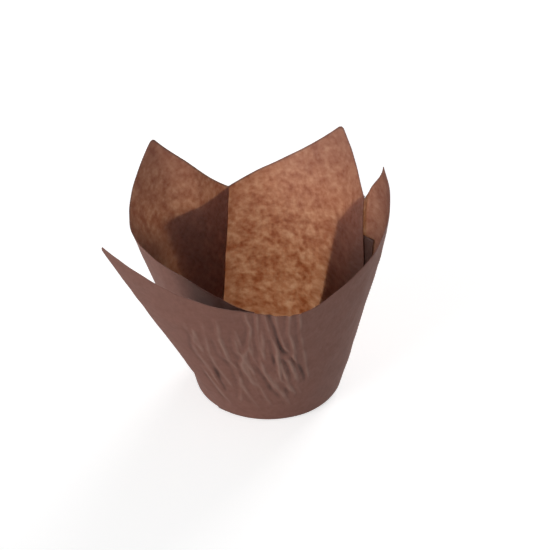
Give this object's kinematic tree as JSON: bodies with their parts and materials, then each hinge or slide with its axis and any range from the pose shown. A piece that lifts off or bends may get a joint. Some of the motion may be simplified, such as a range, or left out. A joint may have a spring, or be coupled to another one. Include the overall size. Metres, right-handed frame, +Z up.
{
  "type": "cupcake liner",
  "caption": "Tulip-style baking cup folded from one square sheet of brown paper, with a round floor and pointed petals around its rim.",
  "frame": {"origin": "centre of the underside of the round floor", "axes": "+Z up out of the cup's mouth, -Y towards the low front of the rim, +X to the right as the front is seen"},
  "size_m": [0.0939, 0.0809, 0.0794],
  "materials": {
    "baking_paper": "matte"
  },
  "bodies": {
    "root": {"liner": "baking_paper"}
  },
  "joints": []
}
